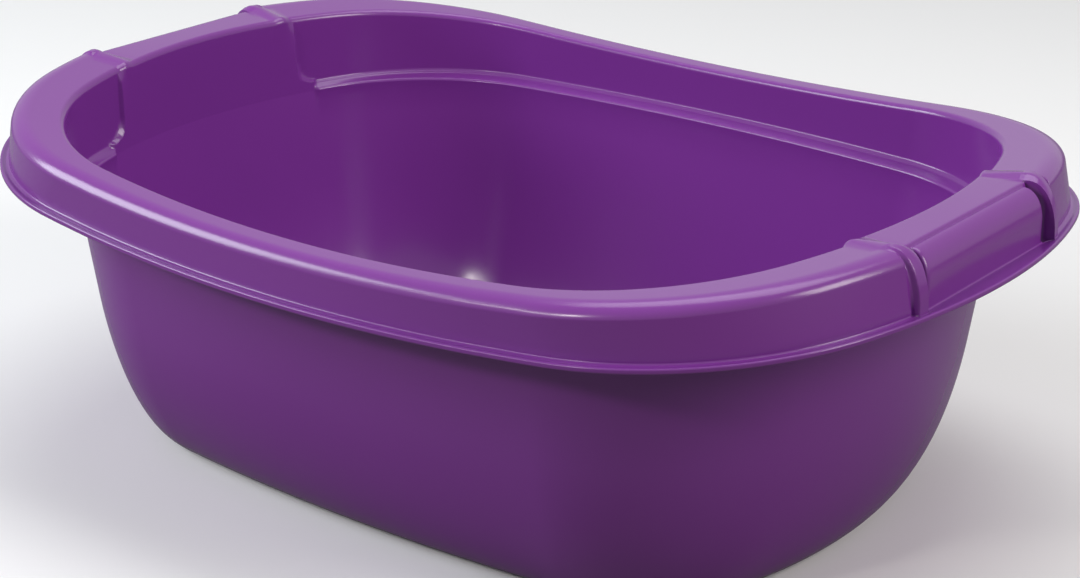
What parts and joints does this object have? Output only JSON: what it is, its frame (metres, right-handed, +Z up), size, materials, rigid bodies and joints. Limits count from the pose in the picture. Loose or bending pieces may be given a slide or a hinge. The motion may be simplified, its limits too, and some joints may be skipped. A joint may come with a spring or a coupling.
{
  "type": "washing up bowl",
  "caption": "Oval plastic washing up bowl with a deep tapered basin, a broad swept rim and a moulded handle at each end.",
  "frame": {"origin": "middle of the bowl on the table that its foot ring stands on", "axes": "+X along the bowl through both handles, +Y towards the back long side, +Z up"},
  "size_m": [0.54, 0.39, 0.182],
  "materials": {
    "basin_plastic": "glossy moulded plastic",
    "rim_plastic": "glossy moulded plastic",
    "handle_plastic": "glossy moulded plastic"
  },
  "bodies": {
    "root": {"base_panel": "basin_plastic", "foot_ring": "basin_plastic", "front_bend": "basin_plastic", "back_bend": "basin_plastic", "left_bend": "basin_plastic", "right_bend": "basin_plastic", "front_left_bend": "basin_plastic", "front_right_bend": "basin_plastic", "back_left_bend": "basin_plastic", "back_right_bend": "basin_plastic", "front_wall": "basin_plastic", "back_wall": "basin_plastic", "left_wall": "basin_plastic", "right_wall": "basin_plastic", "front_left_wall": "basin_plastic", "front_right_wall": "basin_plastic", "back_left_wall": "basin_plastic", "back_right_wall": "basin_plastic", "front_step": "basin_plastic", "back_step": "basin_plastic", "front_upper_wall": "basin_plastic", "back_upper_wall": "basin_plastic", "left_grip_wall": "basin_plastic", "right_grip_wall": "basin_plastic", "front_rim": "rim_plastic", "back_rim": "rim_plastic", "front_skirt": "rim_plastic", "back_skirt": "rim_plastic", "lip": "rim_plastic", "left_handle_bridge": "handle_plastic", "right_handle_bridge": "handle_plastic", "left_grip_panel": "handle_plastic", "right_grip_panel": "handle_plastic", "left_front_post": "handle_plastic", "left_back_post": "handle_plastic", "right_front_post": "handle_plastic", "right_back_post": "handle_plastic", "left_front_web": "handle_plastic", "left_back_web": "handle_plastic", "right_front_web": "handle_plastic", "right_back_web": "handle_plastic", "left_drip_ledge": "handle_plastic", "right_drip_ledge": "handle_plastic"}
  },
  "joints": []
}
